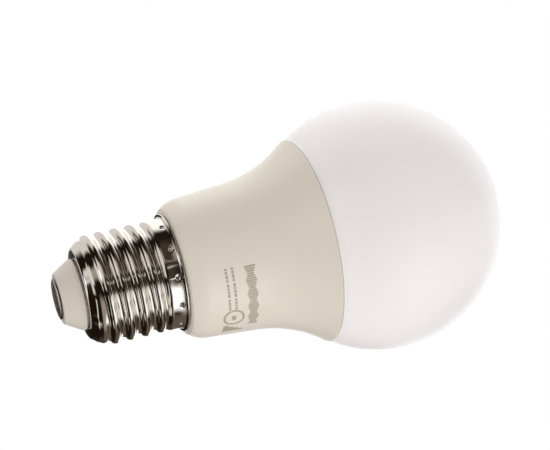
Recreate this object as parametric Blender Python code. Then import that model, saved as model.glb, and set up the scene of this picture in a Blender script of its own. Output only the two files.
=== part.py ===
"""A smart LED light bulb with a round diffuser and an E27 screw cap, built as it is put together.

The bulb stands on its centre contact: the axis is +Z, and the origin is the middle of the
contact's flat tip. Heights in the drawing are counted from the plane of the cap's foot, and the
whole bulb is then lifted by how far the contact stands out of it. Lengths are in millimetres until a
mesh is made. The outer pieces are the diffuser, the housing, the threaded cap shell, its
insulator and the contact. Inside are the aluminium cup, the board of LEDs, the driver board with
its components, the wireless module and the wires.
"""

import math

import bmesh
import bpy
from mathutils import Matrix, Vector

MM = 0.001

# Driving dimensions: the globe, the housing's outline and the standard screw cap
CONTACT_STAND = 1.0
GLOBE_RADIUS = 30.0
GLOBE_CENTRE = 78.1
GLOBE_TOP = GLOBE_CENTRE + GLOBE_RADIUS
GLOBE_WALL = 1.2

SEAM_HEIGHT = 60.2
SEAM_RADIUS = 24.55
LIP_ROUND = 0.2
HOUSING_WALL = 1.5
FLARE_RADIUS = 31.0
FLARE_SLOPE = math.radians(39.3)
BODY_TAPER = math.radians(4.8)
BODY_STRAIGHT = 11.8
SHOULDER_RADIUS = 7.1

CAP_LENGTH = 26.75
CAP_WALL = 0.35
FLANGE_RADIUS = 14.0
SKIRT_RADIUS = 13.1
THREAD_CREST = 13.15
THREAD_ROOT = 12.1
THREAD_PITCH = 3.63
THREAD_PHASE = 3.0
STAKES = 12
STAKE_HEIGHT = 25.3
STAKE_REACH = 0.45
STAKE_DEPTH = 0.55
STAKE_PHASE = math.radians(-84.0)
STAKE_SQUEEZE = 0.55

CONTACT_RADIUS = 4.8
INSULATOR_SINK = 0.3
GAP = 0.3

BOARD_THICKNESS = 1.6
LED_BOARD_RADIUS = 19.0
LED_BOARD_BOTTOM = 57.2
LED_BOARD_TOP = LED_BOARD_BOTTOM + BOARD_THICKNESS
SHELF_TOP = 56.6
LED_COUNT = 12
LED_RING = 13.5
SCREW_RING = 16.0
BOARD_FACE = BOARD_THICKNESS / 2

ROUND_STEPS = 36
SMALL_STEPS = 20


def finish(name, colour, roughness, metallic=0.0):
    """A Principled material of one colour (linear RGB), roughness and metallic value."""
    material = bpy.data.materials.new(name)
    material.use_nodes = True
    shader = material.node_tree.nodes["Principled BSDF"]
    shader.inputs["Base Color"].default_value = (*colour, 1.0)
    shader.inputs["Roughness"].default_value = roughness
    shader.inputs["Metallic"].default_value = metallic
    return material


def add_piece(name, bm, material, place=(0.0, 0.0, 0.0)):
    """Turn a bmesh drawn in millimetres into a named object in metres, standing at its place."""
    bmesh.ops.scale(bm, vec=(MM, MM, MM), verts=bm.verts)
    mesh = bpy.data.meshes.new(name)
    bm.to_mesh(mesh)
    bm.free()
    mesh.shade_smooth()
    mesh.set_sharp_from_angle(angle=math.radians(35.0))
    mesh.materials.append(material)
    piece = bpy.data.objects.new(name, mesh)
    piece.location = Vector(place) * MM
    bpy.context.collection.objects.link(piece)
    piece.parent = bulb
    return piece


def arc(centre, radius, start, end, steps):
    """Points (r, z) round a centre from one angle to another, both ends included."""
    angles = [start + (end - start) * i / steps for i in range(steps + 1)]
    return [(centre[0] + radius * math.cos(a), centre[1] + radius * math.sin(a)) for a in angles]


def spun(profile, steps, closed=True):
    """A bmesh of the (r, z) profile spun once round the Z axis, its poles merged."""
    bm = bmesh.new()
    verts = [bm.verts.new((r, 0.0, z)) for r, z in profile]
    edges = [bm.edges.new(pair) for pair in zip(verts, verts[1:])]
    if closed:
        edges.append(bm.edges.new((verts[-1], verts[0])))
    bmesh.ops.spin(bm, geom=verts + edges, axis=(0, 0, 1), cent=(0, 0, 0), angle=2 * math.pi,
                   steps=steps, use_merge=True)
    bmesh.ops.remove_doubles(bm, verts=bm.verts, dist=1e-4)
    bmesh.ops.recalc_face_normals(bm, faces=bm.faces)
    return bm


def turned(name, profile, material, steps=SMALL_STEPS, closed=True, place=(0, 0, 0), turn=None):
    """A piece spun from its profile, and tipped by the turn matrix if it lies down."""
    bm = spun(profile, steps, closed)
    if turn is not None:
        bmesh.ops.transform(bm, matrix=turn, verts=bm.verts)
    return add_piece(name, bm, material, place)


def rod(name, radius, length, material, place, turn=None, edge=0.25, steps=16):
    """A cylinder with chamfered ends, its middle at the place."""
    half = length / 2
    profile = [(0.0, -half), (radius - edge, -half), (radius, edge - half),
               (radius, half - edge), (radius - edge, half), (0.0, half)]
    return turned(name, profile, material, steps, closed=False, place=place, turn=turn)


def block(name, size, place, material, edge=0.2):
    """A box with chamfered edges, its middle at the place."""
    bm = bmesh.new()
    bmesh.ops.create_cube(bm, size=1.0)
    bmesh.ops.scale(bm, vec=size, verts=bm.verts)
    if edge:
        bmesh.ops.bevel(bm, geom=bm.edges[:], offset=edge, segments=1, affect="EDGES")
    return add_piece(name, bm, material, place)


def plate(name, outline, thickness, place, material, turn=None):
    """A flat outline of (x, y) points made into a plate, from z = 0 up to its thickness."""
    bm = bmesh.new()
    face = bm.faces.new([bm.verts.new((x, y, 0.0)) for x, y in outline])
    grown = bmesh.ops.extrude_face_region(bm, geom=[face])
    tops = [part for part in grown["geom"] if isinstance(part, bmesh.types.BMVert)]
    bmesh.ops.translate(bm, vec=(0.0, 0.0, thickness), verts=tops)
    bmesh.ops.recalc_face_normals(bm, faces=bm.faces)
    if turn is not None:
        bmesh.ops.transform(bm, matrix=turn, verts=bm.verts)
    return add_piece(name, bm, material, place)


def wire(name, points, radius, material):
    """A round wire along a smooth curve through the points, its ends capped."""
    knots = [Vector(p) for p in points]
    knots = [2 * knots[0] - knots[1], *knots, 2 * knots[-1] - knots[-2]]
    route = []
    for a, b, c, d in zip(knots, knots[1:], knots[2:], knots[3:]):
        for i in range(3):
            t = i / 3
            route.append(0.5 * ((2 * b) + (c - a) * t + (2 * a - 5 * b + 4 * c - d) * t ** 2
                                + (3 * b - a - 3 * c + d) * t ** 3))
    route.append(knots[-2])
    curve = bpy.data.curves.new(name, "CURVE")
    curve.dimensions = "3D"
    curve.bevel_depth = radius * MM
    curve.bevel_resolution = 1
    curve.use_fill_caps = True
    spline = curve.splines.new("POLY")
    spline.points.add(len(route) - 1)
    for point, spot in zip(spline.points, route):
        point.co = (*(spot * MM), 1.0)
    curve.materials.append(material)
    piece = bpy.data.objects.new(name, curve)
    bpy.context.collection.objects.link(piece)
    piece.parent = bulb
    return piece


def combine(piece, tool, operation):
    """Cut the tool away from the piece, or unite them; the tool itself isn't part of the bulb."""
    tool.hide_render = True
    tool.display_type = "WIRE"
    boolean = piece.modifiers.new(tool.name, "BOOLEAN")
    boolean.operation = operation
    boolean.object = tool


def drill(piece, name, radius, spot, length):
    """Cut a round hole along Z, its middle at the spot."""
    tool = rod(name, radius, length, piece.data.materials[0], spot, edge=0.1, steps=12)
    combine(piece, tool, "DIFFERENCE")


def flare_centre():
    """The middle of the housing's flare, which lies outside the bulb."""
    return (SEAM_RADIUS + FLARE_RADIUS * math.cos(FLARE_SLOPE),
            SEAM_HEIGHT - FLARE_RADIUS * math.sin(FLARE_SLOPE))


def shoulder_centre():
    """The middle of the rounded shoulder, found by going down the straight body from the flare."""
    r, z = flare_centre()
    top = (r - FLARE_RADIUS * math.cos(BODY_TAPER) - BODY_STRAIGHT * math.sin(BODY_TAPER),
           z + FLARE_RADIUS * math.sin(BODY_TAPER) - BODY_STRAIGHT * math.cos(BODY_TAPER))
    return (top[0] - SHOULDER_RADIUS * math.cos(BODY_TAPER),
            top[1] + SHOULDER_RADIUS * math.sin(BODY_TAPER))


def body_outline(inset, bottom, top, shoulder_steps=3, flare_steps=6):
    """The housing's outline moved in by the inset, from one height up to another."""
    centre = shoulder_centre()
    radius = SHOULDER_RADIUS - inset
    foot = (centre[0] + radius * math.cos(BODY_TAPER), centre[1] - radius * math.sin(BODY_TAPER))
    if bottom < foot[1]:
        start = -math.asin(min((centre[1] - bottom) / radius, 1.0))
        points = arc(centre, radius, start, -BODY_TAPER, shoulder_steps)
    else:
        points = [(foot[0] + (bottom - foot[1]) * math.tan(BODY_TAPER), bottom)]
    centre = flare_centre()
    radius = FLARE_RADIUS + inset
    end = math.asin((top - centre[1]) / radius)
    return points + arc(centre, radius, math.pi - BODY_TAPER, math.pi - end, flare_steps)


def make_housing(material):
    """The moulded shell: neck for the cap, rounded shoulder, flare and the ledge for the globe."""
    neck_bottom = 9.5
    neck_radius = 11.4
    bore_radius = 10.0
    collar_radius = 12.3
    groove_radius = 11.7
    underside = CAP_LENGTH + GAP
    seat_radius = 21.0
    groove_half, groove_slope = 0.6, 0.3
    outside = [(bore_radius, neck_bottom), (neck_radius, neck_bottom), (neck_radius, 22.0),
               (collar_radius, 23.5),
               (collar_radius, STAKE_HEIGHT - groove_half - groove_slope),
               (groove_radius, STAKE_HEIGHT - groove_half),
               (groove_radius, STAKE_HEIGHT + groove_half),
               (collar_radius, STAKE_HEIGHT + groove_half + groove_slope),
               (collar_radius, underside), (FLANGE_RADIUS, underside)]
    centre = flare_centre()
    reach = FLARE_RADIUS + LIP_ROUND
    slope = math.asin((SEAM_HEIGHT - LIP_ROUND - centre[1]) / reach)
    lip_centre = (centre[0] - reach * math.cos(slope), SEAM_HEIGHT - LIP_ROUND)
    outside += body_outline(0.0, underside + 0.3, lip_centre[1] - LIP_ROUND * math.sin(slope))[:-1]
    lip = arc(lip_centre, LIP_ROUND, -slope, math.pi / 2, 3)
    ledge = [(23.0, SEAM_HEIGHT), (23.0, 59.5), (21.8, 59.5), (21.8, SEAM_HEIGHT),
             (seat_radius, SEAM_HEIGHT), (seat_radius, 58.9), (seat_radius + 0.5, 58.7),
             (seat_radius + 0.5, 58.0), (seat_radius, 57.8)]
    inside = body_outline(HOUSING_WALL, 29.5, 57.6, 2, 4)[::-1]
    floor = [(13.0, 28.6), (bore_radius, 28.6)]
    shell = turned("housing_shell", outside + lip + ledge + inside + floor, material, ROUND_STEPS)
    rib_reach, rib_offset = 9.5, 1.75
    for number, (x, y) in enumerate(((-1, -1), (-1, 1), (1, -1), (1, 1)), 1):
        rib = block(f"guide_rib_{number}", (2.2, 1.3, 15.0), (rib_reach * x, rib_offset * y, 19.5),
                    material, edge=0.0)
        combine(shell, rib, "UNION")


def make_globe(material):
    """The blown diffuser: a sphere that meets the housing along a short cone, and its snap neck."""
    foot = (SEAM_RADIUS + 0.05, SEAM_HEIGHT + 0.4)
    neck = 20.7
    reach = math.hypot(foot[0], GLOBE_CENTRE - foot[1])
    tangent = math.acos(GLOBE_RADIUS / reach) - math.atan2(GLOBE_CENTRE - foot[1], foot[0])
    inner = GLOBE_RADIUS - GLOBE_WALL
    centre = (0.0, GLOBE_CENTRE)
    outside = [(neck - GLOBE_WALL, 57.6), (neck - 0.3, 57.6), (neck, 57.9), (neck + 0.45, 58.2),
               (neck + 0.45, 58.5), (neck, 58.8), (neck, SEAM_HEIGHT + GAP),
               (foot[0] - 0.15, SEAM_HEIGHT + GAP), foot]
    outside += arc(centre, GLOBE_RADIUS, tangent, math.pi / 2, 11)
    inside = arc(centre, inner, math.pi / 2, tangent, 8)
    shelf = [(foot[0] - 1.4, 62.0), (foot[0] - 1.9, 61.7), (neck - GLOBE_WALL, 61.7)]
    profile = outside[:-1] + [(0.0, GLOBE_TOP), (0.0, GLOBE_CENTRE + inner)]
    turned("diffuser_globe", profile + inside[1:] + shelf, material, ROUND_STEPS)


def ramp(value, low, high):
    """Zero below the low value, one above the high one, and an even slope between them."""
    return min(max((value - low) / (high - low), 0.0), 1.0)


def make_cap_shell(material):
    """The pressed shell: a rolled thread of thin sheet, a plain skirt, a flange and stake dents."""
    mean = (THREAD_CREST + THREAD_ROOT) / 2
    swing = (THREAD_CREST - THREAD_ROOT) / 2
    rows_per_turn = 4
    first, last = 8.0, 22.2
    rows = round((last - first) / THREAD_PITCH * rows_per_turn)
    outside = [(7.9, 4.65), (9.7, 4.75), (11.2, 5.5), (12.0, 6.8), (12.4, 7.5)]
    outside += [(mean, first + (last - first) * i / rows) for i in range(rows + 1)]
    outside += [(SKIRT_RADIUS, 23.2), (SKIRT_RADIUS, STAKE_HEIGHT - STAKE_REACH),
                (SKIRT_RADIUS, STAKE_HEIGHT), (SKIRT_RADIUS, STAKE_HEIGHT + STAKE_REACH)]
    outside += [(SKIRT_RADIUS + 0.25, CAP_LENGTH - CAP_WALL - 0.3),
                (FLANGE_RADIUS, CAP_LENGTH - CAP_WALL)]
    inside = []
    for before, point, after in zip([outside[0]] + outside, outside, outside[1:] + [outside[-1]]):
        along = Vector((after[0] - before[0], after[1] - before[1])).normalized()
        inside.append((point[0] - along.y * CAP_WALL, point[1] + along.x * CAP_WALL))
    bm = spun(outside + inside[::-1], STAKES * 3)
    for vert in bm.verts:
        radius = vert.co.xy.length
        angle = math.atan2(vert.co.y, vert.co.x)
        step = 2 * math.pi / STAKES
        nearest = round(angle / step) * step
        angle = STAKE_PHASE + nearest + (angle - nearest) * STAKE_SQUEEZE
        height = vert.co.z
        depth = ramp(height, 6.8, 8.8) * (1.0 - ramp(height, 21.4, 23.0))
        wave = math.cos(2 * math.pi * ((height - THREAD_PHASE) / THREAD_PITCH) - angle)
        radius += swing * wave * depth
        if abs(height - STAKE_HEIGHT) < 0.1 and abs(angle - STAKE_PHASE - nearest) < 0.01:
            radius -= STAKE_DEPTH
        vert.co.xy = (radius * math.cos(angle), radius * math.sin(angle))
    bmesh.ops.recalc_face_normals(bm, faces=bm.faces)
    add_piece("screw_cap_shell", bm, material)


def make_insulator(material):
    """The moulded cone that keeps the contact apart from the shell, with a flange inside it."""
    bore = 1.7
    cone = [(bore, 0.0), (5.65, 0.0), (6.0, 0.2), (6.45, 0.9), (7.8, 2.9), (8.4, 4.3), (8.4, 4.65)]
    flange = [(7.6, 4.65), (7.6, 5.65), (8.5, 5.65), (8.7, 5.85), (8.7, 6.7), (bore, 6.7)]
    turned("cap_insulator", cone + flange, material, 26, place=(0.0, 0.0, -INSULATOR_SINK))


def make_contact(material):
    """The centre contact: a disc with a turned-down edge on a hollow rivet stem."""
    flat, stem, hole = 3.0, 1.4, 0.9
    back = -INSULATOR_SINK - GAP
    profile = [(0.0, -CONTACT_STAND), (flat, -CONTACT_STAND), (CONTACT_RADIUS - 0.3, back - 0.25),
               (CONTACT_RADIUS, back - 0.13), (CONTACT_RADIUS - 0.05, back), (stem, back),
               (stem, 6.9), (hole, 6.9), (hole, 2.0), (0.0, 2.0)]
    turned("centre_contact", profile, material, 20, closed=False)


def make_seal(material):
    """The silicone ring in the ledge's groove, under the globe's shelf."""
    ring = [(22.05, 59.75), (22.8, 59.75), (22.8, 60.25), (22.55, 60.35), (22.3, 60.35),
            (22.05, 60.25)]
    turned("globe_seal_ring", ring, material, 28)


def make_cup(material):
    """The drawn aluminium cup that lines the housing and carries the LED board on its shelf."""
    bottom, wall, opening = 33.5, 1.0, 12.0
    clear = HOUSING_WALL + GAP
    outside = body_outline(clear, bottom, SHELF_TOP - 0.3, 2, 4)
    inside = body_outline(clear + wall, bottom, SHELF_TOP - wall - 0.3, 2, 4)
    shelf = [(outside[-1][0] - 0.4, SHELF_TOP), (opening, SHELF_TOP), (opening, SHELF_TOP - wall)]
    cup = turned("heat_sink_cup", outside + shelf + inside[::-1], material, 28)
    for side in (-1, 1):
        drill(cup, f"cup_screw_hole_{side + 2}", 1.5, (SCREW_RING * side, 0.0, SHELF_TOP), 3.0)


def make_led_board(board_finish, pad_finish, screw_finish):
    """The aluminium-cored board, its thermal pad and the two screws that hold both down."""
    disc = [(0.0, 0.0), (LED_BOARD_RADIUS, 0.0), (LED_BOARD_RADIUS, BOARD_THICKNESS),
            (0.0, BOARD_THICKNESS)]
    board = turned("led_board", disc, board_finish, 32, False, (0.0, 0.0, LED_BOARD_BOTTOM))
    slot = block("module_slot", (16.4, 2.2, 4.0), (0.0, MODULE_Y, LED_BOARD_BOTTOM + 1.0),
                 board_finish, edge=0.0)
    combine(board, slot, "DIFFERENCE")
    pad_low = SHELF_TOP + 0.15
    ring = [(12.4, 0.0), (18.4, 0.0), (18.4, 0.3), (12.4, 0.3)]
    pad = turned("thermal_pad", ring, pad_finish, 30, place=(0.0, 0.0, pad_low))
    for side in (-1, 1):
        spot = (SCREW_RING * side, 0.0, LED_BOARD_BOTTOM)
        drill(board, f"board_screw_hole_{side + 2}", 1.5, spot, 5.0)
        drill(pad, f"pad_screw_hole_{side + 2}", 1.5, spot, 5.0)
        drill(board, f"board_wire_hole_{side + 2}", 1.0, (9.2 * side, 4.0, LED_BOARD_BOTTOM), 5.0)
        head = [(0.0, 1.7), (1.0, 1.65), (1.8, 1.2), (2.1, 0.6), (2.1, 0.3), (1.15, 0.3),
                (1.15, -3.2), (0.6, -3.7), (0.0, -3.7)]
        screw = turned(f"board_screw_{(side + 3) // 2}", head, screw_finish, 16, False,
                       (SCREW_RING * side, 0.0, LED_BOARD_TOP))
        for arm, size in enumerate(((2.4, 0.5, 1.6), (0.5, 2.4, 1.6)), 1):
            tool = block(f"cross_{side + 2}_{arm}", size, (SCREW_RING * side, 0.0, LED_BOARD_TOP + 1.7),
                         screw_finish, edge=0.0)
            combine(screw, tool, "DIFFERENCE")


def make_leds(material):
    """The ring of surface-mounted LEDs: white trays with a shallow window on top."""
    length, width, height = 3.5, 2.8, 0.7
    bm = bmesh.new()
    bmesh.ops.create_cube(bm, size=1.0)
    bmesh.ops.scale(bm, vec=(width, length, height), verts=bm.verts)
    top = max(bm.faces, key=lambda face: face.calc_center_median().z)
    bmesh.ops.inset_region(bm, faces=[top], thickness=0.4)
    bmesh.ops.translate(bm, vec=(0.0, 0.0, -0.15), verts=top.verts)
    first = add_piece("led_01", bm, material)
    for number in range(LED_COUNT):
        led = first
        if number:
            led = bpy.data.objects.new(f"led_{number + 1:02d}", first.data)
            bpy.context.collection.objects.link(led)
            led.parent = bulb
        angle = 2 * math.pi * (number + 0.5) / LED_COUNT
        led.location = Vector((LED_RING * math.cos(angle), LED_RING * math.sin(angle),
                               LED_BOARD_TOP + 0.15 + height / 2)) * MM
        led.rotation_euler = (0.0, 0.0, angle)


UPRIGHT = Matrix.Rotation(math.pi / 2, 4, "X")
FACING = Matrix.Rotation(-math.pi / 2, 4, "X")
MODULE_Y = -3.8
MODULE_THICKNESS = 0.8


def make_driver_board(material):
    """The upright circuit board: narrow inside the cap, wider inside the housing."""
    narrow, wide = 9.0, 12.4
    right = [(narrow, 12.5), (narrow, 28.8), (wide, 32.0), (wide, 51.0)]
    outline = [(-x, z) for x, z in right[::-1]] + right
    plate("driver_board", outline, BOARD_THICKNESS, (0.0, BOARD_FACE, 0.0), material, UPRIGHT)


def make_electrolytic(name, radius, length, spot, material):
    """A can capacitor: a crimped groove near its base and a dished top."""
    half = length / 2
    profile = [(0.0, -half), (radius - 0.3, -half), (radius, 0.3 - half), (radius, 1.2 - half),
               (radius - 0.35, 1.6 - half), (radius, 2.0 - half), (radius, half - 0.4),
               (radius - 0.4, half), (radius - 0.9, half), (radius - 1.1, half - 0.2),
               (0.0, half - 0.2)]
    turned(name, profile, material, 16, False, spot)


def make_transformer(core_finish, bobbin_finish, winding_finish):
    """An EE-core transformer: a ferrite frame, a flanged bobbin and the taped winding on it."""
    middle = (0.0, 5.6, 42.5)
    depth = 4.0
    right = [(6.2, -5.0), (6.2, 5.0)]
    frame = [(-x, z) for x, z in right[::-1]] + right
    core = plate("transformer_core", frame, depth, (0.0, middle[1] + depth / 2, middle[2]),
                 core_finish, UPRIGHT)
    for side in (-1, 1):
        window = block(f"core_window_{side + 2}", (3.4, 8.0, 7.0),
                       (3.2 * side, middle[1], middle[2]), core_finish, edge=0.0)
        combine(core, window, "DIFFERENCE")
    flange, tube, bore, half = 4.4, 3.1, 2.8, 3.2
    outside = [(bore, -half), (flange, -half), (flange, 0.5 - half), (tube, 0.5 - half),
               (tube, half - 0.5), (flange, half - 0.5), (flange, half), (bore, half)]
    turned("transformer_bobbin", outside, bobbin_finish, 20, place=middle)
    inner, outer = tube + 0.2, 4.2
    ring = [(inner, 0.8 - half), (outer - 0.15, 0.8 - half), (outer, 1.1 - half),
            (outer, half - 1.1), (outer - 0.15, half - 0.8), (inner, half - 0.8)]
    turned("transformer_winding", ring, winding_finish, 20, place=middle)


def make_components(finishes):
    """The driver's components, each standing a little off its face of the board."""
    front = -(BOARD_FACE + GAP)
    rear = BOARD_FACE + GAP
    rod("fuse_resistor", 1.7, 7.5, finishes["fuse"], (-5.0, front - 1.7, 19.0), edge=0.5)
    rod("varistor", 3.5, 3.0, finishes["varistor"], (3.4, front - 1.5, 19.2), FACING, edge=0.8)
    block("bridge_rectifier", (6.2, 2.4, 4.8), (0.0, rear + 1.2, 16.2), finishes["chip"], 0.3)
    rod("filter_inductor", 2.8, 7.0, finishes["sleeve"], (0.0, rear + 2.8, 23.6), edge=0.5)
    make_electrolytic("input_capacitor", 4.0, 13.0, (-6.2, front - 4.0, 39.0), finishes["can"])
    make_electrolytic("output_capacitor", 4.0, 11.5, (6.2, front - 4.0, 38.2), finishes["can"])
    block("film_capacitor", (9.0, 4.6, 5.4), (0.0, rear + 2.3, 33.6), finishes["film"], 0.4)
    block("driver_chip", (3.9, 1.5, 4.9), (0.0, front - 0.75, 40.0), finishes["chip"], 0.15)
    block("output_diode", (2.6, 2.2, 4.3), (9.6, rear + 1.1, 46.0), finishes["chip"], 0.2)
    for number, (x, z) in enumerate(((-9.3, 45.5), (-9.3, 41.5), (9.3, 38.0), (-9.3, 37.0)), 1):
        block(f"chip_resistor_{number}", (1.6, 0.6, 3.2), (x, rear + 0.3, z), finishes["resistor"],
              edge=0.1)


def make_module(board_finish, can_finish, copper_finish, plug_finish):
    """The wireless module that stands through the LED board, with its antenna above the metal."""
    half_width, low, high = 7.6, 47.4, 66.5
    outline = [(-half_width, low), (half_width, low), (half_width, high), (-half_width, high)]
    plate("wireless_module_board", outline, MODULE_THICKNESS,
          (0.0, MODULE_Y + MODULE_THICKNESS / 2, 0.0), board_finish, UPRIGHT)
    face = MODULE_Y - MODULE_THICKNESS / 2
    block("module_shield_can", (12.0, 1.8, 7.0), (0.0, face - 0.15 - 0.9, 52.2), can_finish, 0.25)
    block("module_header", (10.2, 1.7, 2.5), (0.0, -2.1, 49.2), plug_finish, edge=0.2)
    track, pitch, rise = 0.5, 1.6, 4.4
    base, folds = 60.4, 7
    centre_line = [(-5.6, base)]
    for fold in range(folds):
        x = -5.6 + pitch * fold
        near, far = (base, base + rise) if fold % 2 == 0 else (base + rise, base)
        centre_line += [(x, far)] if fold else [(x, near), (x, far)]
        if fold < folds - 1:
            centre_line.append((x + pitch, far))
    plate("module_antenna", ribbon(centre_line[1:], track), 0.2,
          (0.0, face - 0.15, 0.0), copper_finish, UPRIGHT)


def ribbon(line, width):
    """The outline of a flat track that follows a line of square corners."""
    def edge(side):
        points = []
        for i, spot in enumerate(line):
            here = Vector(spot)
            back = (here - Vector(line[i - 1])).normalized() if i else None
            ahead = (Vector(line[i + 1]) - here).normalized() if i < len(line) - 1 else None
            back = back or ahead
            ahead = ahead or back
            out = Vector((-back.y, back.x)) + Vector((-ahead.y, ahead.x))
            if (back - ahead).length < 1e-6:
                out = out / 2
            points.append(tuple(here + out * side * width / 2))
        return points
    return edge(1) + edge(-1)[::-1]


def make_wires(live, neutral, plus, minus):
    """The four leads: contact and shell to the driver board, and the driver to the LED board."""
    wire("live_wire", [(0.0, 0.0, 7.5), (-0.2, -0.6, 9.0), (-1.6, -1.8, 11.5), (-3.0, -1.9, 13.5),
                       (-3.4, -1.8, 14.6)], 0.55, live)
    wire("neutral_wire", [(9.6, 0.8, 7.6), (9.2, 1.4, 8.4), (7.8, 2.0, 9.8), (6.4, 2.1, 12.0),
                          (6.0, 1.8, 14.6)], 0.55, neutral)
    for name, side, material in (("led_plus_wire", 1, plus), ("led_minus_wire", -1, minus)):
        wire(name, [(6.6 * side, 1.7, 49.0), (7.4 * side, 2.4, 51.5), (9.0 * side, 3.8, 54.5),
                    (9.2 * side, 4.0, 57.5), (9.2 * side, 4.2, 59.4), (8.6 * side, 5.6, 60.3),
                    (8.0 * side, 7.4, 59.7)], 0.5, material)


for old in list(bpy.data.objects):
    bpy.data.objects.remove(old, do_unlink=True)
bulb = bpy.data.objects.new("bulb", None)
bulb.location = (0.0, 0.0, CONTACT_STAND * MM)
bpy.context.collection.objects.link(bulb)

make_globe(finish("diffuser_plastic", (0.79, 0.76, 0.75), 0.3))
make_housing(finish("housing_plastic", (0.73, 0.67, 0.59), 0.45))
make_cap_shell(finish("cap_nickel", (0.62, 0.58, 0.52), 0.18, 1.0))
make_insulator(finish("insulator_plastic", (0.6, 0.55, 0.48), 0.5))
make_contact(finish("contact_nickel", (0.3, 0.27, 0.24), 0.3, 1.0))
make_seal(finish("seal_silicone", (0.75, 0.75, 0.75), 0.6))
make_cup(finish("cup_aluminium", (0.78, 0.79, 0.8), 0.4, 1.0))
make_led_board(finish("led_board_white", (0.85, 0.86, 0.86), 0.4),
               finish("pad_grey", (0.35, 0.4, 0.45), 0.8),
               finish("screw_steel", (0.6, 0.6, 0.6), 0.3, 1.0))
make_leds(finish("led_phosphor", (0.85, 0.7, 0.2), 0.35))
make_driver_board(finish("driver_board_green", (0.03, 0.16, 0.06), 0.4))
make_transformer(finish("core_ferrite", (0.05, 0.05, 0.055), 0.6),
                 finish("bobbin_black", (0.02, 0.02, 0.02), 0.5),
                 finish("winding_tape", (0.75, 0.55, 0.08), 0.4))
make_components({
    "fuse": finish("fuse_brown", (0.25, 0.1, 0.05), 0.5),
    "varistor": finish("varistor_blue", (0.05, 0.12, 0.4), 0.4),
    "chip": finish("chip_epoxy", (0.02, 0.02, 0.022), 0.5),
    "sleeve": finish("sleeve_black", (0.015, 0.015, 0.015), 0.5),
    "can": finish("capacitor_sleeve", (0.03, 0.04, 0.09), 0.3),
    "film": finish("film_yellow", (0.7, 0.5, 0.05), 0.4),
    "resistor": finish("resistor_black", (0.03, 0.03, 0.03), 0.4),
})
make_module(finish("module_board_blue", (0.02, 0.05, 0.12), 0.4),
            finish("shield_tin", (0.7, 0.7, 0.7), 0.3, 1.0),
            finish("antenna_copper", (0.85, 0.5, 0.3), 0.3, 1.0),
            finish("header_black", (0.02, 0.02, 0.02), 0.5))
make_wires(finish("wire_brown", (0.16, 0.06, 0.03), 0.45),
           finish("wire_blue", (0.03, 0.1, 0.45), 0.45),
           finish("wire_red", (0.5, 0.02, 0.02), 0.45),
           finish("wire_black", (0.02, 0.02, 0.02), 0.45))
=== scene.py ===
import bpy
import numpy as np
from mathutils import Matrix, Vector


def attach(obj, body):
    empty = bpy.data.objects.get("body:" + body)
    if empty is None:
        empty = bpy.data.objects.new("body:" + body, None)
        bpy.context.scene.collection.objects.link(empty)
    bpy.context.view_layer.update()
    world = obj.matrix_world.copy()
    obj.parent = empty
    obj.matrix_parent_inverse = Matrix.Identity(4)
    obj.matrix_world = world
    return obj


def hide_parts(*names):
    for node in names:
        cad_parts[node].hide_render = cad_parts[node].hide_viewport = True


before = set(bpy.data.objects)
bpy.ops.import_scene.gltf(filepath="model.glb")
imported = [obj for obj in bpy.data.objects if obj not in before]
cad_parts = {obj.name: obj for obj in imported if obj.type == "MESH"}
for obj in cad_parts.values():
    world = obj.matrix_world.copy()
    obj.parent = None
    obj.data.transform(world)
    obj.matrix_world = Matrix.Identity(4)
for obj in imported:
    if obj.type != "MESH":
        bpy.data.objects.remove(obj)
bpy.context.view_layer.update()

MM = 0.001


# Centre contact: the round live contact at the foot of the cap, pressed from nickel-plated brass.
# It is slightly domed, and riveted through the insulator by a hollow stem. Heights are counted in
# millimetres from the plane of the cap's foot, and the contact's tip stands below it.

STAND = 1.0
CONTACT_RADIUS = 4.8
CONTACT_STEM = 1.4


def rounded(corners, steps=6):
    """An outline (r, z) through corners (r, z, radius), each corner rounded off by an arc.

    The arc touches both sides at radius * tan(turn / 2) from the corner. It is the rational curve
    (a (1-t)^2 + 2 w c t (1-t) + b t^2) / ((1-t)^2 + 2 w t (1-t) + t^2) with w = cos(turn / 2).
    """
    corners = np.asarray(corners, float)
    spot, radius = corners[:, None, :2], corners[:, None, 2:]
    back = np.roll(spot, 1, 0) - spot
    ahead = np.roll(spot, -1, 0) - spot
    back /= np.linalg.norm(back, axis=2, keepdims=True)
    ahead /= np.linalg.norm(ahead, axis=2, keepdims=True)
    turn = np.arccos(np.clip(-(back * ahead).sum(2, keepdims=True), -1, 1))
    reach = radius * np.tan(np.minimum(turn, 3.0) / 2)
    start, end, weight = spot + back * reach, spot + ahead * reach, np.cos(turn / 2)
    t = np.linspace(0, 1, steps + 1)[None, :, None]
    share = (1 - t) ** 2 + 2 * weight * t * (1 - t) + t ** 2
    path = ((1 - t) ** 2 * start + 2 * weight * t * (1 - t) * spot + t ** 2 * end) / share
    path = path.reshape(-1, 2)
    apart = np.linalg.norm(np.diff(path, axis=0), axis=1) > 1e-6
    return path[np.append(True, apart)]


def turned(outline, columns):
    """A grid of points: each (r, z) of the outline goes round the axis, x = r cos a, y = r sin a."""
    radius, height = np.asarray(outline, float).T[:, :, None]
    angle = 2 * np.pi * np.arange(columns) / columns
    flat = np.ones(columns)
    return np.stack([radius * np.cos(angle), radius * np.sin(angle), height * flat], -1)


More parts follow.
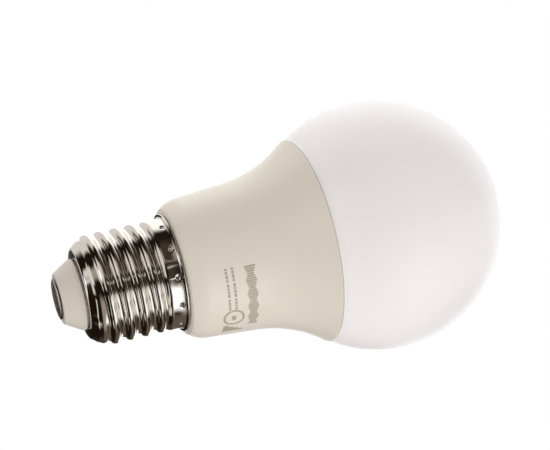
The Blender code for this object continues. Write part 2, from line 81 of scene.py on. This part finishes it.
def skin(name, grids, material, ring=False):
    """A closed surface over grids of points in millimetres, each shaped (rows, columns, 3).

    Every four neighbouring points make a face, and the last column joins the first. A row whose
    points share one spot is a pole. With ring, the last row joins the first as well. The surface
    is lifted by STAND.
    """
    points, faces, start = [], [], 0
    for grid in grids:
        rows, columns = grid.shape[:2]
        index = start + np.arange(rows * columns).reshape(rows, columns)
        pole = np.ptp(grid, axis=1).max(axis=1) < 1e-7
        index[pole] = index[pole, :1]
        low, high = (index, np.roll(index, -1, 0)) if ring else (index[:-1], index[1:])
        around = [low, np.roll(low, -1, 1), np.roll(high, -1, 1), high]
        faces.append(np.stack(around, -1).reshape(-1, 4))
        points.append(grid.reshape(-1, 3))
        start += rows * columns
    faces = np.concatenate(faces)
    used, faces = np.unique(faces, return_inverse=True)
    faces = faces.reshape(-1, 4)
    foot, tip = faces[:, 0] == faces[:, 1], faces[:, 2] == faces[:, 3]
    cells = faces[~foot & ~tip].tolist()
    cells += faces[foot & ~tip][:, 1:].tolist() + faces[tip & ~foot][:, :3].tolist()
    mesh = bpy.data.meshes.new(name)
    places = (np.concatenate(points)[used] + (0, 0, STAND)) * MM
    mesh.from_pydata(places.tolist(), [], cells)
    mesh.shade_smooth()
    mesh.set_sharp_from_angle(angle=0.8)
    mesh.materials.append(material)
    piece = bpy.data.objects.new(name, mesh)
    bpy.context.scene.collection.objects.link(piece)
    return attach(piece, "root")


def add(tree, kind, inputs=None, **settings):
    """A shader node with its settings; each input takes a value, or a socket to link from."""
    made = tree.nodes.new("ShaderNode" + kind)
    for key, value in settings.items():
        setattr(made, key, value)
    for key, value in (inputs or {}).items():
        if isinstance(value, bpy.types.NodeSocket):
            tree.links.new(value, made.inputs[key])
        else:
            made.inputs[key].default_value = value
    return made


def finish(name, colour, roughness, drift=0.04, grain=0.4, relief=0.004, spread=0.05, **fixed):
    """A finish whose colour and gloss drift over the piece, under a fine grain.

    The colour is multiplied by 1 +- drift following noise a centimetre wide, the roughness moves by
    +- spread with finer noise, and a noise of grain millimetres raises the surface by relief
    millimetres. fixed are constants of the shader by their socket names.
    """
    material = bpy.data.materials.new(name)
    material.use_nodes = True
    tree = material.node_tree
    shader = tree.nodes["Principled BSDF"]
    place = add(tree, "TexCoord").outputs["Object"]
    broad = add(tree, "TexNoise", {"Vector": place, "Scale": 90.0, "Detail": 3.0})
    shade = add(tree, "MapRange", {0: broad.outputs[0], 3: 1 - drift, 4: 1 + drift})
    tint = add(tree, "VectorMath", {0: colour, "Scale": shade.outputs[0]}, operation="SCALE")
    tree.links.new(tint.outputs[0], shader.inputs["Base Color"])
    fine = add(tree, "TexNoise", {"Vector": place, "Scale": 1 / (grain * MM), "Detail": 2.0})
    gloss = add(tree, "MapRange", {0: fine.outputs[0], 3: roughness - spread, 4: roughness + spread})
    tree.links.new(gloss.outputs[0], shader.inputs["Roughness"])
    bump = add(tree, "Bump", {"Height": fine.outputs[0], "Distance": relief * MM, "Strength": 1.0})
    tree.links.new(bump.outputs[0], shader.inputs["Normal"])
    for key, value in fixed.items():
        shader.inputs[key.replace("_", " ")].default_value = value
    return material


nickel_dark = finish("contact_nickel", (0.52, 0.42, 0.33), 0.2, drift=0.1, grain=0.25, relief=0.003,
                     Metallic=1.0)
contact_outline = rounded([
    (0.0, -STAND, 0), (3.0, 0.03 - STAND, 1.5), (3.6, -0.86, 0.5), (4.25, -0.9, 0.5),
    (CONTACT_RADIUS, -0.73, 0.08),
    (4.75, -0.6, 0.05), (CONTACT_STEM, -0.6, 0), (CONTACT_STEM, 6.9, 0.1), (0.9, 6.9, 0.1),
    (0.9, 2.0, 0.2), (0.0, 2.0, 0)])
contact = skin("contact", [turned(contact_outline, 96)], nickel_dark)
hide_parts("centre_contact")


# Insulator: the cone between contact and shell, moulded from cream thermoset so that it stands the
# heat. Its flange lies inside the shell, whose lower end is rolled into the groove under it.

CONE_FOOT = 5.9
CONE_TOP = 8.4
insulator_cream = finish("insulator_cream", (0.65, 0.595, 0.525), 0.42, drift=0.03, grain=0.3,
                         relief=0.006)
insulator_outline = rounded([
    (1.7, -0.3, 0.1), (CONE_FOOT, -0.3, 0.5), (8.2, 3.5, 1.2), (CONE_TOP, 4.35, 0.12),
    (7.6, 4.35, 0.05), (7.6, 5.35, 0.1), (8.5, 5.35, 0.1), (8.7, 5.55, 0.1), (8.7, 6.4, 0.15),
    (1.7, 6.4, 0.15)])
insulator = skin("insulator", [turned(insulator_outline, 128)], insulator_cream, ring=True)
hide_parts("cap_insulator")


# Cap shell: drawn from thin brass sheet, nickel plated and bright. The thread is rolled into it, the
# skirt above is plain with a turned-out flange, and punched dents hold it on the housing's neck.

CAP_WALL = 0.35
CREST, ROOT = 13.15, 12.1
PITCH, THREAD_START = 3.63, 3.0
SKIRT_RADIUS = 13.1
FLANGE_RADIUS = 14.0
CAP_TOP = 26.75
THREAD_IN, THREAD_OUT = (6.4, 9.2), (21.2, 23.2)
DENTS, DENT_HEIGHT, DENT_TURN = 12, 25.3, np.radians(-84.0)
DENT_RADIUS, DENT_DEPTH = 0.72, 0.65
HOLLOW_RADIUS, HOLLOW_DEPTH = 3.2, 0.13


def step(value, low, high):
    """Zero below low, one above high, and the smooth 3 t^2 - 2 t^3 between."""
    t = np.clip((value - low) / (high - low), 0, 1)
    return t * t * (3 - 2 * t)


def thread_wave(turns):
    """The rolled thread's height, -0.5 to 0.5 of its depth, over its turns.

    Crest and root are arcs of one radius R = (p^2 + d^2) / (4 d) that touch half way, where p is
    half the pitch and d the depth.
    """
    half, depth = PITCH / 2, CREST - ROOT
    bend = (half ** 2 + depth ** 2) / (4 * depth)
    off = np.abs((turns + 0.5) % 1.0 - 0.5) * PITCH
    near = np.minimum(off, half - off)
    height = np.sqrt(bend ** 2 - near ** 2) - (bend - depth / 2)
    return np.where(off < half / 2, height, -height) / depth


def sheet_shell(outline, columns):
    """The shell's outside: the outline turned round the axis, with thread and dents pressed in.

    The thread rises by one PITCH a turn, and fades in and out over two ranges of height. Columns
    crowd towards the dents: s - 0.7 sin(2 pi s) / (2 pi) over each dent's share s. A dent is a
    smoothed pit of DENT_DEPTH in a wide shallow hollow, whose depth differs from dent to dent.
    """
    share = (np.arange(columns) * DENTS / columns + 0.5) % 1.0 - 0.5
    dent = np.arange(columns) * DENTS / columns - share
    crowded = share - 0.7 * np.sin(2 * np.pi * share) / (2 * np.pi)
    angle = DENT_TURN + 2 * np.pi * (dent + crowded) / DENTS
    radius, height = outline.T[:, :, None]
    fade = step(height, *THREAD_IN) * (1 - step(height, *THREAD_OUT))
    turns = (height - THREAD_START) / PITCH - angle / (2 * np.pi)
    radius = radius + (CREST - ROOT) * fade * thread_wave(turns)
    aside = 2 * np.pi * crowded / DENTS * SKIRT_RADIUS
    reach = np.hypot(aside, height - DENT_HEIGHT) / DENT_RADIUS
    radius = radius - DENT_DEPTH * (1 - step(reach, -0.35, 1.0))
    hollow = 1 - step(reach * DENT_RADIUS, 0.4, HOLLOW_RADIUS)
    radius = radius - HOLLOW_DEPTH * hollow * (0.6 + 0.4 * np.sin(2.3 * dent + 0.7))
    return np.stack([radius * np.cos(angle), radius * np.sin(angle), height + 0 * angle], -1)


def inward(grid, wall):
    """The grid moved inwards by the wall, against the cross product of its two slopes."""
    along = np.gradient(grid, axis=0)
    across = np.roll(grid, -1, 1) - np.roll(grid, 1, 1)
    normal = np.cross(across, along)
    return grid - wall * normal / np.linalg.norm(normal, axis=2, keepdims=True)


mean = (CREST + ROOT) / 2
shoulder = rounded([(7.9, 4.65, 0), (10.5, 4.7, 1.2), (11.8, 6.2, 1.8), (mean, 8.0, 1.5),
                    (mean, 8.6, 0)], 24)
along = np.append(0, np.cumsum(np.linalg.norm(np.diff(shoulder, axis=0), axis=1)))
evenly = np.linspace(0, along[-1], 60)
shoulder = np.stack([np.interp(evenly, along, column) for column in shoulder.T], 1)
threaded = np.stack([np.full(150, mean), np.linspace(8.69, 22.1, 150)], 1)
run_out = np.linspace(22.2, 24.4, 16)
run_out = np.stack([mean + (SKIRT_RADIUS - mean) * step(run_out, 21.6, 23.4), run_out], 1)
dented = np.linspace(24.5, 25.85, 20)
skirt_flare = 0.03
dented = np.stack([SKIRT_RADIUS + skirt_flare * (dented - 24.4) ** 2, dented], 1)
curl = np.linspace(0, np.pi / 2, 9)[1:]
curl_radius = 0.34
curl = np.stack([dented[-1, 0] + curl_radius * (1 - np.cos(curl)),
                 CAP_TOP - CAP_WALL - curl_radius * (1 - np.sin(curl))], 1)
rim = np.array([[FLANGE_RADIUS - 0.3, CAP_TOP - CAP_WALL],
                [FLANGE_RADIUS - 0.05, CAP_TOP - CAP_WALL]])
shell_outline = np.concatenate([shoulder, threaded, run_out, dented, curl, rim])
outer = sheet_shell(shell_outline, 18 * DENTS)
inner = inward(outer, CAP_WALL)[::-1]
edge = (outer[-1:] + inner[:1]) / 2 + (outer[-1:] - outer[-2:-1]) * 0.25
# The inside is hidden, so between its ends it keeps every third row only.
inner = np.concatenate([inner[:8], inner[8:-8:3], inner[-8:]])
plated = finish("cap_plating", (0.80, 0.765, 0.71), 0.075, drift=0.04, grain=1.4, relief=0.004,
                spread=0.02, Metallic=1.0)
cap = skin("cap_shell", [np.concatenate([outer, edge, inner])], plated, ring=True)
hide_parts("screw_cap_shell")


# Housing: one moulding of cream thermoplastic. A neck inside the cap carries it, a rounded shoulder
# leads to a straight taper, and a wide flare ends in the lip and the ledge that takes the globe.

SEAM_RADIUS, SEAM = 24.55, 60.2
LIP_ROUND = 0.16
FLARE_BEND, FLARE_END = 31.0, np.radians(39.3)
TAPER = np.radians(4.8)
STRAIGHT = 11.8
SHOULDER_BEND = 7.1
HOUSING_WALL = 1.5
UNDERSIDE = 27.05


def arc(centre, radius, start, end, steps):
    """Points centre + radius (cos a, sin a) for a from start to end."""
    angle = np.linspace(start, end, steps)
    return np.stack([centre[0] + radius * np.cos(angle), centre[1] + radius * np.sin(angle)], 1)


flare_middle = np.array([SEAM_RADIUS + FLARE_BEND * np.cos(FLARE_END),
                         SEAM - FLARE_BEND * np.sin(FLARE_END)])
lip_slope = np.arcsin((SEAM - LIP_ROUND - flare_middle[1]) / (FLARE_BEND + LIP_ROUND))
lip_way = np.array([-np.cos(lip_slope), np.sin(lip_slope)])
lip_middle = flare_middle + (FLARE_BEND + LIP_ROUND) * lip_way
down = np.array([-np.sin(TAPER), -np.cos(TAPER)])
out = np.array([np.cos(TAPER), -np.sin(TAPER)])
shoulder_middle = flare_middle - FLARE_BEND * out + STRAIGHT * down - SHOULDER_BEND * out


def body_outline(inset, bottom, top, steps):
    """Shoulder arc, straight taper and flare arc, moved in by the inset, from bottom to top."""
    bend = SHOULDER_BEND - inset
    first = -np.arcsin(min((shoulder_middle[1] - bottom) / bend, 1.0))
    rounding = arc(shoulder_middle, bend, first, -TAPER, steps)
    bend = FLARE_BEND + inset
    last = np.arcsin((top - flare_middle[1]) / bend)
    flare = arc(flare_middle, bend, np.pi - TAPER, np.pi - last, 2 * steps)
    straight = np.linspace(rounding[-1], flare[0], steps // 2)[1:-1]
    return np.concatenate([rounding, straight, flare])


neck = rounded([
    (10.0, 9.5, 0.3), (11.4, 9.5, 0.4), (11.4, 22.0, 0.3), (12.3, 23.5, 0.3),
    (12.3, DENT_HEIGHT - 0.9, 0.05), (11.7, DENT_HEIGHT - 0.6, 0.1),
    (11.7, DENT_HEIGHT + 0.6, 0.1), (12.3, DENT_HEIGHT + 0.9, 0.05), (12.3, UNDERSIDE, 0.1),
    (14.0, UNDERSIDE, 0)], 4)
outside = body_outline(0.0, UNDERSIDE + 0.25, lip_middle[1] - LIP_ROUND * np.sin(lip_slope), 28)
lip = arc(lip_middle, LIP_ROUND, -lip_slope, np.pi / 2, 8)[1:]
ledge = rounded([
    (23.8, SEAM, 0), (23.0, SEAM, 0.1), (23.0, 59.5, 0.1), (21.8, 59.5, 0.1), (21.8, SEAM, 0.1),
    (21.0, SEAM, 0.15), (21.0, 58.9, 0.1), (21.5, 58.7, 0.05), (21.5, 58.0, 0.05),
    (21.0, 57.8, 0.1), (21.0, 57.6, 0)], 3)
inside = body_outline(HOUSING_WALL, 29.5, 57.4, 12)[::-1]
bore = rounded([(13.5, 28.7, 0), (13.0, 28.6, 0), (10.0, 28.6, 0.3), (10.0, 9.9, 0)], 3)
housing_outline = np.concatenate([neck[:-1], outside, lip, ledge, inside, bore[1:]])

RIB_REACH, RIB_OFFSET = 9.5, 1.75
corner = rounded([(-1.1, -0.65, 0.2), (1.1, -0.65, 0.2), (1.1, 0.65, 0.2), (-1.1, 0.65, 0.2)], 3)
rib_height = np.array([12.0, 12.0, 12.15, 26.85, 27.0, 27.0])
rib_size = np.array([0.0, 0.85, 1.0, 1.0, 0.85, 0.0])
rib = np.stack([rib_size[:, None] * corner[:, 0], rib_size[:, None] * corner[:, 1],
                rib_height[:, None] + 0 * corner[:, 0]], -1)
ribs = [rib + (RIB_REACH * x, RIB_OFFSET * y, 0) for x in (-1, 1) for y in (-1, 1)]

cream = finish("housing_cream", (0.725, 0.67, 0.575), 0.32, drift=0.012, grain=0.12, relief=0.003,
               spread=0.04, IOR=1.58)
housing = skin("housing", [turned(housing_outline, 192)], cream, ring=True)
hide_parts("housing_shell")
guides = skin("guide_ribs", ribs, cream)


# Print on the housing: pad-printed in thin grey-brown ink. It is plain marks only: a row of upright
# bars, two rows of short dashes, a ring round a dash, and four rising bars.

INK_HEIGHT = 0.015
ROW_HEIGHT = 40.85
RING_TURN, RING_HEIGHT = 50.5, 36.3


def stroke(path, width):
    """A stroke of ink on the housing along a path of (turn in degrees, height in mm).

    The path is widened both ways by half the width at right angles to its way forward, and its
    points are laid on the housing's radius at their height, a little above and below the surface.
    Its ends are closed in their middle.
    """
    path = np.asarray(path, float)
    radius = np.interp(path[:, 1], outside[:, 1], outside[:, 0])
    scale = radius[:, None] * np.pi / 180
    flat = np.concatenate([path[:, :1] * scale, path[:, 1:]], 1)
    way = np.gradient(flat, axis=0)
    way /= np.linalg.norm(way, axis=1, keepdims=True)
    side = np.stack([-way[:, 1], way[:, 0]], 1) * width / 2
    side[:, :1] /= scale
    level = np.array([-1, 1, 1, -1]) * INK_HEIGHT
    hand = np.array([1, 1, -1, -1])
    turn = np.radians(path[:, :1] + side[:, :1] * hand)
    height = path[:, 1:] + side[:, 1:] * hand
    height = np.concatenate([height[:1] * 0 + path[0, 1], height, height[:1] * 0 + path[-1, 1]])
    ends = np.radians(path[[0, -1], :1])
    turn = np.concatenate([turn[:1] * 0 + ends[0], turn, turn[:1] * 0 + ends[1]])
    level = np.concatenate([[level * 0], np.tile(level, (len(path), 1)), [level * 0]])
    reach = np.interp(height, outside[:, 1], outside[:, 0]) + level
    return np.stack([reach * np.sin(turn), -reach * np.cos(turn), height], -1)


def bar(turn, low, high, width):
    """An upright stroke at one turn, from a low to a high point."""
    return stroke(np.stack([np.full(5, float(turn)), np.linspace(low, high, 5)], 1), width)


def dash(first, last, height, width):
    """A stroke round the housing at one height, from a first to a last turn."""
    turn = np.linspace(first, last, max(3, int(abs(last - first) * 1.5) + 2))
    return stroke(np.stack([turn, np.full(len(turn), float(height))], 1), width)


main_row = []
for number in range(30):
    tall = 1.5 + 1.1 * abs((number % 6) - 3) / 3
    main_row.append(bar(7.6 + 1.85 * number, ROW_HEIGHT - tall / 2, ROW_HEIGHT + tall / 2, 0.42))
small_rows = []
for height, end in ((35.35, 42.0), (36.85, 44.5)):
    turn = 5.8
    for number in range(40):
        long = 1.6 + 1.3 * ((number * 7) % 5) / 4
        if turn + long > end:
            break
        small_rows.append(dash(turn, turn + long, height, 0.55))
        turn += long + (1.5 if number % 4 == 3 else 0.7)
circle = 2 * np.pi * np.arange(33) / 32
ring = np.stack([RING_TURN + 7.9 * np.cos(circle), RING_HEIGHT + 2.25 * np.sin(circle)], 1)
block = [stroke(ring, 0.5), dash(RING_TURN - 2.5, RING_TURN + 2.5, RING_HEIGHT, 1.0)]
block += [bar(61.5 + 2.6 * n, 34.0, 35.2 + 1.15 * n, 0.9) for n in range(4)]
ink = finish("print_ink", (0.40, 0.35, 0.28), 0.5, drift=0.12, grain=0.2, relief=0.002)
marks = skin("printed_marks", main_row + small_rows + block, ink)


# Heat sink and light board: a drawn aluminium cup lines the housing. On its shelf lie the thermal
# pad and the white board with its ring of LEDs, held by two screws.

def coat(material, *nodes):
    """Give the carried-over pieces their finish."""
    for name in nodes:
        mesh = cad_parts[name].data
        mesh.materials.clear()
        mesh.materials.append(material)


coat(finish("drawn_aluminium", (0.78, 0.79, 0.80), 0.36, drift=0.05, grain=0.15, relief=0.004,
            Metallic=1.0), "heat_sink_cup")
coat(finish("board_white", (0.83, 0.84, 0.83), 0.38, drift=0.02, grain=0.2, relief=0.003),
     "led_board")
coat(finish("pad_grey", (0.34, 0.39, 0.44), 0.8, drift=0.06, grain=0.3, relief=0.02),
     "thermal_pad")
coat(finish("screw_zinc", (0.62, 0.62, 0.60), 0.28, drift=0.08, grain=0.12, relief=0.003,
            Metallic=1.0), "board_screw_1", "board_screw_2")
coat(finish("led_phosphor", (0.86, 0.70, 0.20), 0.34, drift=0.05, grain=0.1, relief=0.006),
     *[f"led_{n:02d}" for n in range(1, 13)])


# Driver: an upright circuit board in the guide ribs, with its through-hole and surface components
# soldered on both faces. Their packages are resin, ferrite, film, sleeved cans and taped wire.

coat(finish("board_green", (0.03, 0.16, 0.06), 0.36, drift=0.12, grain=0.6, relief=0.006),
     "driver_board")
coat(finish("package_resin", (0.022, 0.022, 0.024), 0.5, drift=0.15, grain=0.15, relief=0.008),
     "driver_chip", "bridge_rectifier", "output_diode")
coat(finish("can_sleeve", (0.03, 0.04, 0.09), 0.3, drift=0.1, grain=0.5, relief=0.004),
     "input_capacitor", "output_capacitor")
coat(finish("film_yellow", (0.70, 0.50, 0.06), 0.38, drift=0.05, grain=0.3, relief=0.01),
     "film_capacitor")
coat(finish("fuse_brown", (0.25, 0.11, 0.05), 0.5, drift=0.1, grain=0.2, relief=0.02),
     "fuse_resistor")
coat(finish("varistor_blue", (0.05, 0.12, 0.40), 0.4, drift=0.08, grain=0.5, relief=0.03),
     "varistor")
coat(finish("black_plastic", (0.02, 0.02, 0.021), 0.46, drift=0.1, grain=0.2, relief=0.005),
     "filter_inductor", "transformer_bobbin", "module_header")
coat(finish("ferrite", (0.05, 0.05, 0.055), 0.62, drift=0.2, grain=0.1, relief=0.015),
     "transformer_core")
coat(finish("winding_tape", (0.75, 0.55, 0.09), 0.36, drift=0.05, grain=0.6, relief=0.01),
     "transformer_winding")
coat(finish("resistor_glaze", (0.03, 0.03, 0.03), 0.4, drift=0.2, grain=0.1, relief=0.006),
     *[f"chip_resistor_{n}" for n in range(1, 5)])


# Wireless module: a small blue board that stands through the light board, so that the folded copper
# track of its antenna is above the metal. A tinned can shields its chips.

coat(finish("module_blue", (0.02, 0.05, 0.12), 0.36, drift=0.12, grain=0.5, relief=0.006),
     "wireless_module_board")
coat(finish("shield_tin", (0.70, 0.70, 0.69), 0.3, drift=0.06, grain=0.2, relief=0.005,
            Metallic=1.0), "module_shield_can")
coat(finish("antenna_copper", (0.85, 0.50, 0.32), 0.3, drift=0.08, grain=0.15, relief=0.003,
            Metallic=1.0), "module_antenna")


# Leads: stranded copper in coloured PVC, soldered at both ends. Brown and blue bring the mains from
# the cap, red and black go on to the light board.

for lead, colour in (("live_wire", (0.16, 0.06, 0.03)), ("neutral_wire", (0.03, 0.10, 0.45)),
                     ("led_plus_wire", (0.50, 0.02, 0.02)), ("led_minus_wire", (0.02, 0.02, 0.02))):
    coat(finish(lead + "_pvc", colour, 0.42, drift=0.06, grain=0.3, relief=0.008), lead)


# Globe: a blown diffuser of opal plastic, a sphere that runs into a short cone at its foot. Its neck
# snaps into the housing's ledge and is glued there by a ring of silicone.

GLOBE_RADIUS = 30.0
GLOBE_MIDDLE = 78.1
GLOBE_WALL = 1.2
GLOBE_NECK = 20.7
FOOT = np.array([SEAM_RADIUS - 0.1, SEAM + 0.03])
rise = GLOBE_MIDDLE - FOOT[1]
tangent = np.arccos(GLOBE_RADIUS / np.hypot(FOOT[0], rise)) - np.arctan2(rise, FOOT[0])
sphere_middle = (0.0, GLOBE_MIDDLE)
globe_neck = rounded([
    (GLOBE_NECK - GLOBE_WALL, 57.6, 0.2), (GLOBE_NECK, 57.6, 0.3), (GLOBE_NECK, 58.0, 0.1),
    (GLOBE_NECK + 0.4, 58.25, 0.1), (GLOBE_NECK + 0.4, 58.5, 0.1), (GLOBE_NECK, 58.8, 0.1),
    (GLOBE_NECK, SEAM + 0.3, 0.1), (FOOT[0] - 0.35, SEAM + 0.3, 0.05),
    (FOOT[0] - 0.25, FOOT[1], 0.05), (FOOT[0] + 0.06, FOOT[1], 0.08),
    (FOOT[0] + 0.1, FOOT[1] + 0.45, 0.06),
    (FOOT[0] + 0.02, FOOT[1] + 0.5, 0.02)], 4)
sphere = arc(sphere_middle, GLOBE_RADIUS, tangent, np.pi / 2, 110)
cone = np.linspace(globe_neck[-1], sphere[0], 8)[1:-1]
hollow = arc(sphere_middle, GLOBE_RADIUS - GLOBE_WALL, np.pi / 2, tangent, 48)
globe_shelf = rounded([(FOOT[0] - 1.3, 62.3, 0), (FOOT[0] - 1.9, 61.7, 0.4),
                       (GLOBE_NECK - GLOBE_WALL, 61.7, 0.4), (GLOBE_NECK - GLOBE_WALL, 60.0, 0)], 4)
globe_outline = np.concatenate([globe_neck, cone, sphere])
globe_inside = np.concatenate([hollow, globe_shelf])
globe_outline[-1, 0] = globe_inside[0, 0] = 0.0
opal = finish("diffuser_opal", (0.965, 0.928, 0.912), 0.34, drift=0.008, grain=0.1, relief=0.002,
              spread=0.04, IOR=1.5, Subsurface_Weight=0.3, Subsurface_Scale=0.005,
              Subsurface_Radius=(1.0, 1.0, 1.0))
globe_closed = np.concatenate([globe_outline, globe_inside, globe_outline[:1]])
globe = skin("globe", [turned(globe_closed, 192)], opal)
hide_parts("diffuser_globe")
coat(finish("seal_silicone", (0.76, 0.76, 0.75), 0.55, drift=0.04, grain=0.4, relief=0.02),
     "globe_seal_ring")


# Floor: a wide round sheet of matt white board, well below the bulb, because the camera looks up at
# the bulb from lower than its cap. The polished metal doesn't mirror it.

FLOOR_HEIGHT = -62.0
FLOOR_THICKNESS = 3.0
floor_material = finish("floor_board", (0.86, 0.86, 0.86), 0.8, drift=0.004, grain=2.0, relief=0.01)
floor_rings = np.array([0.0, 60, 150, 300, 500, 800, 1200, 1600])
floor_grid = turned(np.stack([floor_rings[::-1], floor_rings * 0 + FLOOR_HEIGHT], 1), 96)
floor_back = FLOOR_HEIGHT - FLOOR_THICKNESS
underside = turned(np.array([[0.0, floor_back], [floor_rings[-1], floor_back]]), 96)
floor = skin("floor", [np.concatenate([underside, floor_grid])], floor_material)
floor.visible_glossy = False


# Light: a white tent. What a glossy surface mirrors is drawn as panels of light and dark round the
# bulb's axis, while all scattered light comes from the tent's even white and two area lamps. Each
# row below holds a panel's brightness, its turns, its lifts and the softness of both, in degrees.

world = bpy.data.worlds.new("tent")
bpy.context.scene.world = world
world.use_nodes = True
tent = world.node_tree
tent.nodes.clear()
way = add(tent, "SeparateXYZ", {0: add(tent, "TexCoord").outputs["Generated"]}).outputs
across = add(tent, "Math", {0: way["X"], 1: -1.0}, operation="MULTIPLY").outputs[0]
towards = add(tent, "Math", {0: way["Y"], 1: -1.0}, operation="MULTIPLY").outputs[0]
turn_round = add(tent, "Math", {0: across, 1: towards}, operation="ARCTAN2").outputs[0]
turn_round = add(tent, "Math", {0: turn_round, 1: 180 / np.pi}, operation="MULTIPLY").outputs[0]
lift = add(tent, "Math", {0: way["Z"]}, operation="ARCSINE").outputs[0]
lift = add(tent, "Math", {0: lift, 1: 180 / np.pi}, operation="MULTIPLY").outputs[0]


def panel(under, bright, turns, lifts, soft):
    """A panel over what is already there, between two turns and two lifts in degrees.

    Its cover is the product of four smooth steps. They are twice soft degrees wide, with one
    softness for the turns and one for the lifts. The dimmer a panel is, the warmer is its colour.
    """
    cover = None
    for value, (low, high), half in ((turn_round, turns, soft[0]), (lift, lifts, soft[1])):
        for edge, sign in ((low, 1), (high, -1)):
            side = add(tent, "MapRange", {0: value, 1: edge - half * sign, 2: edge + half * sign},
                       interpolation_type="SMOOTHSTEP").outputs[0]
            cover = side if cover is None else add(tent, "Math", {0: cover, 1: side},
                                                   operation="MULTIPLY").outputs[0]
    colour = (bright, 0.99 * bright ** 1.11, 0.97 * bright ** 1.22, 1.0)
    return add(tent, "MixRGB", {0: cover, 1: under, 2: colour}).outputs[0]


mirrored = (0.012, 0.007, 0.004, 1.0)
for bright, turns, lifts, soft in (
        (0.06, (-30, 66), (8, 60), (12, 14)), (0.75, (9, 13), (8, 58), (3, 12)),
        (0.28, (24, 29), (8, 58), (3, 12)), (0.16, (70, 88), (20, 58), (6, 8)),
        (0.13, (-150, -96), (-10, 26), (20, 12)),
        (1.25, (103, 195), (-2, 75), (9, 8)), (0.78, (97, 171), (-34, 0), (9, 8)),
        (1.25, (-195, -160), (-2, 20), (5, 6)), (1.30, (-195, -144), (15, 80), (5, 5)),
        (0.60, (-150, -84), (48, 84), (10, 8)), (0.34, (-98, -18), (-13, 8), (14, 5)),
        (1.50, (-80, -24), (3, 28), (9, 4)), (1.25, (-74, -15), (19, 30), (9, 4)),
        (0.88, (-86, -20), (28, 84), (6, 5)), (0.14, (-60, -45), (36, 60), (5, 6)),
        (0.90, (16, 62), (-46, -29), (7, 5)), (0.40, (24, 50), (-30, 4), (8, 8)),
        (0.78, (-10, 86), (-68, -43), (6, 5)), (0.80, (-88, -24), (-54, -43), (4, 3)),
        (0.75, (-108, -85), (-43, -30), (4, 4)), (1.60, (44, 124), (-95, -70), (8, 4)),
        (1.15, (166, 195), (-95, -30), (4, 5)), (1.15, (-195, -168), (-95, -30), (5, 5))):
    mirrored = panel(mirrored, bright, turns, lifts, soft)
even = (0.905, 0.885, 0.88, 1.0)
path = add(tent, "LightPath").outputs
seen = add(tent, "MixRGB", {0: path["Is Glossy Ray"], 1: even, 2: mirrored}).outputs[0]
backdrop = (1.0, 1.0, 1.0, 1.0)
seen = add(tent, "MixRGB", {0: path["Is Camera Ray"], 1: seen, 2: backdrop}).outputs[0]
background = add(tent, "Background", {"Color": seen}).outputs[0]
tent.links.new(background, add(tent, "OutputWorld").inputs[0])


def lamp(name, place, target, size, power, spread, colour=(1.0, 1.0, 1.0)):
    """A square area lamp turned to its target, its grid letting out a cone of spread degrees.

    Mirrors don't show it.
    """
    data = bpy.data.lights.new(name, "AREA")
    data.size, data.energy, data.color = size, power, colour
    data.spread = np.radians(spread)
    made = bpy.data.objects.new(name, data)
    made.location = Vector(place)
    made.rotation_euler = (Vector(target) - Vector(place)).to_track_quat("-Z", "Y").to_euler()
    made.visible_glossy = False
    bpy.context.scene.collection.objects.link(made)
    return made


middle = (0.0, 0.0, 0.061)
lamp("front_lamp", (0.42, -0.24, 0.02), (0.0, 0.0, 0.03), 0.14, 0.026, 34.0, (0.97, 0.985, 1.0))
lamp("top_lamp", (-0.6, 0.3, 0.12), middle, 0.3, 0.25, 90.0)


# Camera: a long lens in front of the bulb and lower than its cap, so that the cap's end shows. It is
# rolled, so that the bulb lies across the picture with its cap to the left.

target = Vector((-0.005370, 0.0, 0.054699))
place = Vector((-0.005384, -0.365718, -0.047687))
ahead = (target - place).normalized()
level = ahead.cross(Vector((0, 0, 1))).normalized()
upright = level.cross(ahead)
roll = np.radians(77.033)
right = level * np.cos(roll) + upright * np.sin(roll)
top = upright * np.cos(roll) - level * np.sin(roll)
lens = bpy.data.cameras.new("camera")
lens.sensor_width = 36.0
lens.lens = 104.7272727
lens.clip_start = 0.01
camera = bpy.data.objects.new("camera", lens)
camera.matrix_world = Matrix.Translation(place) @ Matrix((right, top, -ahead)).transposed().to_4x4()
bpy.context.scene.collection.objects.link(camera)
bpy.context.scene.camera = camera
bpy.context.scene.view_settings.view_transform = "Standard"
